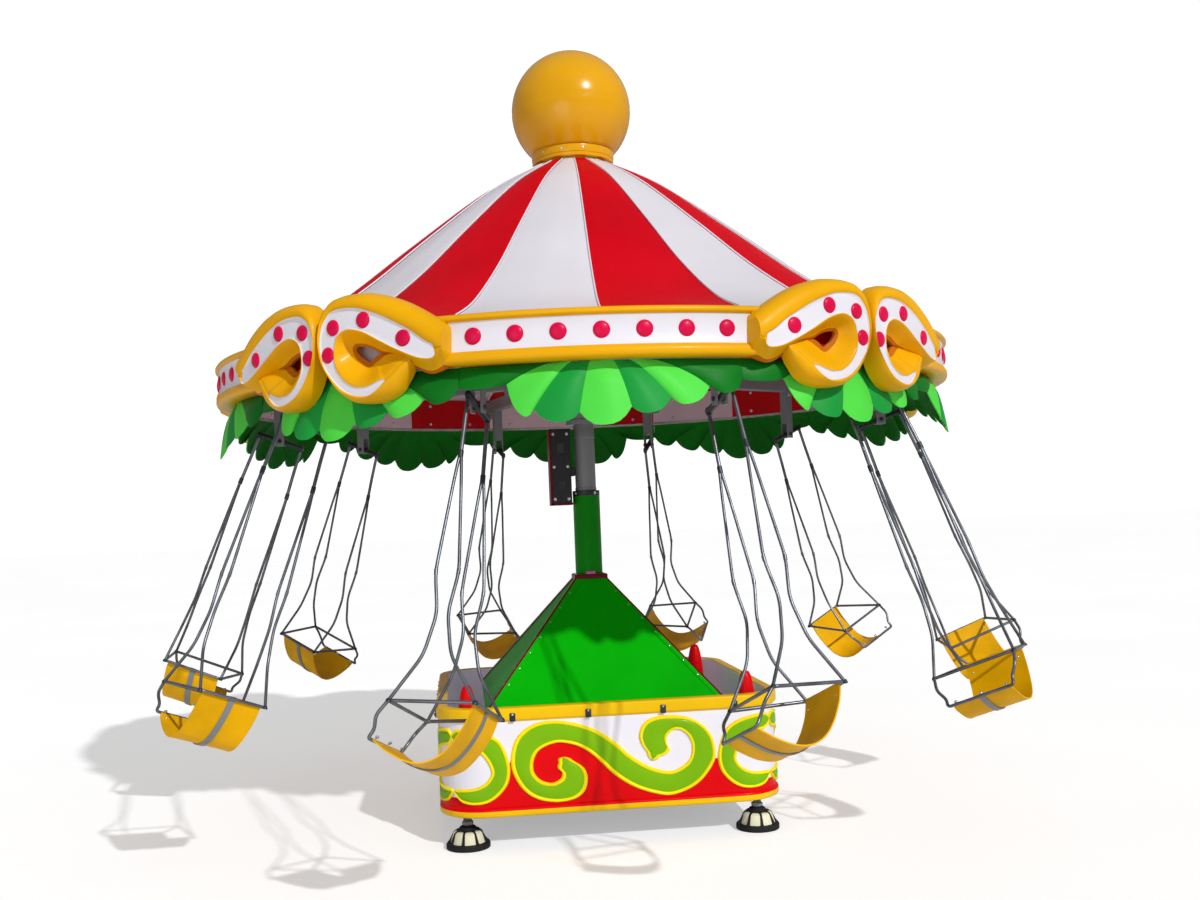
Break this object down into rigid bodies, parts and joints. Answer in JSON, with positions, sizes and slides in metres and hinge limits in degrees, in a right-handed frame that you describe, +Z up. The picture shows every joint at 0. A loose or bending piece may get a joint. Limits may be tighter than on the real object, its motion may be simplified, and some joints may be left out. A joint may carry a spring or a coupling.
{
  "type": "chair swing ride",
  "caption": "Small fairground swing ride: hanging chairs under a turning striped canopy with scrolled crown and leaf garland, on a square tub base with pyramid cover.",
  "frame": {"origin": "on the ground, on the mast's axis", "axes": "+Z up along the mast, -Y towards the front of the base, +X to the right of someone who faces the front"},
  "size_m": [3.6132, 3.5854, 3.2],
  "materials": {
    "white_panel": "white gel-coated fibreglass with red lower field",
    "yellow_panel": "yellow gel-coated fibreglass",
    "red_panel": "red and white gel-coated fibreglass",
    "green_panel": "green gel-coated fibreglass",
    "leaf_panel": "light and mid green gel-coated fibreglass",
    "maroon_trim": "dark red gel-coated fibreglass",
    "floor_plate": "grey painted plate",
    "frame_steel": "grey painted steel",
    "mast_green": "dark green painted steel",
    "drive_black": "black painted steel",
    "foot_black": "black rubber and plastic pad on a steel stem",
    "chair_steel": "bright steel rod"
  },
  "bodies": {
    "base": {"chassis_frame": "frame_steel", "tub_floor": "floor_plate", "cover_hips": "maroon_trim", "mast_column": "mast_green", "mast_inner": "frame_steel", "drive_box": "drive_black", "levelling_foot_1": "foot_black", "levelling_foot_2": "foot_black", "levelling_foot_3": "foot_black", "levelling_foot_4": "foot_black", "corner_dome_left": "red_panel", "corner_dome_right": "red_panel", "corner_dome_rear": "red_panel", "tub_front": "white_panel", "tub_right": "white_panel", "tub_back": "white_panel", "tub_left": "white_panel", "cover_front": "green_panel", "cover_right": "green_panel", "cover_back": "green_panel", "cover_left": "green_panel"},
    "rotor": {"mast_head": "frame_steel", "canopy_frame": "frame_steel", "roof_shell": "red_panel", "roof_edge": "red_panel", "roof_collar": "yellow_panel", "finial_ball": "yellow_panel", "crown_1": "yellow_panel", "crown_2": "yellow_panel", "crown_3": "yellow_panel", "crown_4": "yellow_panel", "crown_5": "yellow_panel", "garland_1": "leaf_panel", "garland_2": "leaf_panel", "garland_3": "leaf_panel", "garland_4": "leaf_panel", "garland_5": "leaf_panel"},
    "chair_01": {"chair_frame_01": "chair_steel", "chair_seat_01": "yellow_panel"},
    "chair_02": {"chair_frame_02": "chair_steel", "chair_seat_02": "yellow_panel"},
    "chair_03": {"chair_frame_03": "chair_steel", "chair_seat_03": "yellow_panel"},
    "chair_04": {"chair_frame_04": "chair_steel", "chair_seat_04": "yellow_panel"},
    "chair_05": {"chair_frame_05": "chair_steel", "chair_seat_05": "yellow_panel"},
    "chair_06": {"chair_frame_06": "chair_steel", "chair_seat_06": "yellow_panel"},
    "chair_07": {"chair_frame_07": "chair_steel", "chair_seat_07": "yellow_panel"},
    "chair_08": {"chair_frame_08": "chair_steel", "chair_seat_08": "yellow_panel"},
    "chair_09": {"chair_frame_09": "chair_steel", "chair_seat_09": "yellow_panel"},
    "chair_10": {"chair_frame_10": "chair_steel", "chair_seat_10": "yellow_panel"}
  },
  "joints": [
    {"name": "rotor_turn", "type": "hinge", "parent": "base", "child": "rotor", "pos_m": [0, 0, 1.65], "axis": [0, 0, 1], "continuous": true},
    {"name": "chair_01_swing", "type": "hinge", "parent": "rotor", "child": "chair_01", "pos_m": [-0.46704, -1.19175, 1.594], "axis": [-0.9311, 0.3649, 0], "range_deg": [-24, 14]},
    {"name": "chair_02_swing", "type": "hinge", "parent": "rotor", "child": "chair_02", "pos_m": [0.32265, -1.23867, 1.594], "axis": [-0.9677, -0.2521, 0], "range_deg": [-24, 14]},
    {"name": "chair_03_swing", "type": "hinge", "parent": "rotor", "child": "chair_03", "pos_m": [0.9891, -0.81246, 1.594], "axis": [-0.6347, -0.7727, 0], "range_deg": [-24, 14]},
    {"name": "chair_04_swing", "type": "hinge", "parent": "rotor", "child": "chair_04", "pos_m": [1.27775, -0.07591, 1.594], "axis": [-0.0593, -0.9982, 0], "range_deg": [-24, 14]},
    {"name": "chair_05_swing", "type": "hinge", "parent": "rotor", "child": "chair_05", "pos_m": [1.07834, 0.68963, 1.594], "axis": [0.5388, -0.8425, 0], "range_deg": [-24, 14]},
    {"name": "chair_06_swing", "type": "hinge", "parent": "rotor", "child": "chair_06", "pos_m": [0.46704, 1.19175, 1.594], "axis": [0.9311, -0.3649, 0], "range_deg": [-24, 14]},
    {"name": "chair_07_swing", "type": "hinge", "parent": "rotor", "child": "chair_07", "pos_m": [-0.32265, 1.23867, 1.594], "axis": [0.9677, 0.2521, 0], "range_deg": [-24, 14]},
    {"name": "chair_08_swing", "type": "hinge", "parent": "rotor", "child": "chair_08", "pos_m": [-0.9891, 0.81246, 1.594], "axis": [0.6347, 0.7727, 0], "range_deg": [-24, 14]},
    {"name": "chair_09_swing", "type": "hinge", "parent": "rotor", "child": "chair_09", "pos_m": [-1.27775, 0.07591, 1.594], "axis": [0.0593, 0.9982, 0], "range_deg": [-24, 14]},
    {"name": "chair_10_swing", "type": "hinge", "parent": "rotor", "child": "chair_10", "pos_m": [-1.07834, -0.68963, 1.594], "axis": [-0.5388, 0.8425, 0], "range_deg": [-24, 14]}
  ]
}
